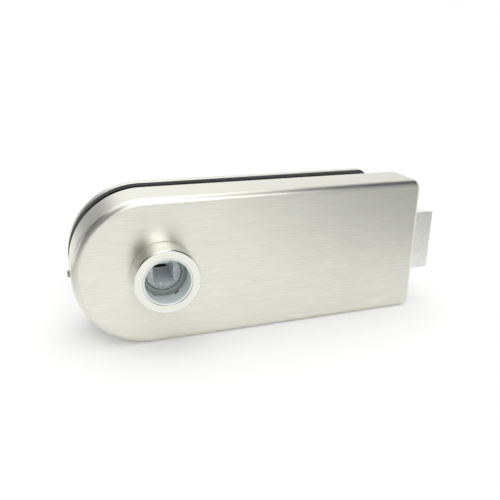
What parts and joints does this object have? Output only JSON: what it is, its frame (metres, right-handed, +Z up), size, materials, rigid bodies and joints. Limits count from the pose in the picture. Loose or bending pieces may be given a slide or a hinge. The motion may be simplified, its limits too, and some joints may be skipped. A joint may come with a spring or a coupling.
{
  "type": "glass door latch",
  "caption": "Glass door latch with a rounded two-part case that clamps the glass, a collar for the lever and a sprung bevelled bolt.",
  "frame": {"origin": "the spindle axis at the middle of the glass", "axes": "+X along the case towards the bolt, +Y through the glass towards the back cover, +Z up"},
  "size_m": [0.1665, 0.0534, 0.062],
  "materials": {
    "brushed_cover": "fine horizontal brushing, warm light grey",
    "collar_metal": "fine turned satin",
    "liner_plastic": "smooth pale blue-grey plastic",
    "gasket_rubber": "matt black",
    "sleeve_nylon": "smooth natural nylon",
    "guide_nylon": "smooth black nylon",
    "plate_steel": "zinc-plated sheet steel",
    "follower_zinc": "rough cast zinc",
    "bolt_metal": "satin light grey",
    "spring_steel": "drawn spring steel",
    "dark_screw": "blackened steel",
    "screw_steel": "zinc-plated"
  },
  "bodies": {
    "lock": {"back_collar": "collar_metal", "back_cover": "brushed_cover", "back_gasket": "gasket_rubber", "back_liner": "liner_plastic", "base_plate": "plate_steel", "bolt_guide": "guide_nylon", "cap_plate": "plate_steel", "carriage_rail_1": "guide_nylon", "carriage_rail_2": "guide_nylon", "clamp_screw_1": "screw_steel", "clamp_screw_2": "screw_steel", "clamp_screw_3": "screw_steel", "counter_plate": "plate_steel", "cover_clip_1": "spring_steel", "cover_clip_2": "spring_steel", "cover_set_screw": "dark_screw", "front_collar": "collar_metal", "front_cover": "brushed_cover", "front_gasket": "gasket_rubber", "front_liner": "liner_plastic", "glass_sleeve_1": "sleeve_nylon", "glass_sleeve_2": "sleeve_nylon", "glass_sleeve_3": "sleeve_nylon", "return_spring": "spring_steel"},
    "follower": {"follower": "follower_zinc"},
    "carriage": {"bolt_spring_1": "spring_steel", "bolt_spring_2": "spring_steel", "carriage": "plate_steel", "spring_carrier": "plate_steel"},
    "bolt": {"bolt_tail": "plate_steel", "latch_bolt": "bolt_metal"}
  },
  "joints": [
    {"name": "follower_turn", "type": "hinge", "parent": "lock", "child": "follower", "pos_m": [0, 0, 0], "axis": [0, -1, 0], "range_deg": [0, 40]},
    {"name": "carriage_slide", "type": "slide", "parent": "lock", "child": "carriage", "axis": [-1, 0, 0], "range_m": [0, 0.0115], "stiffness_N_per_m": 1800, "springref_m": -0.006, "deforming": ["return_spring"]},
    {"name": "bolt_slide", "type": "slide", "parent": "carriage", "child": "bolt", "axis": [-1, 0, 0], "range_m": [0, 0.0115], "stiffness_N_per_m": 300, "springref_m": -0.01, "deforming": ["bolt_spring_1", "bolt_spring_2"]}
  ],
  "couplings": [
    {"joint": "follower_turn", "follows": "carriage_slide", "rad_per_m": 60.707}
  ]
}
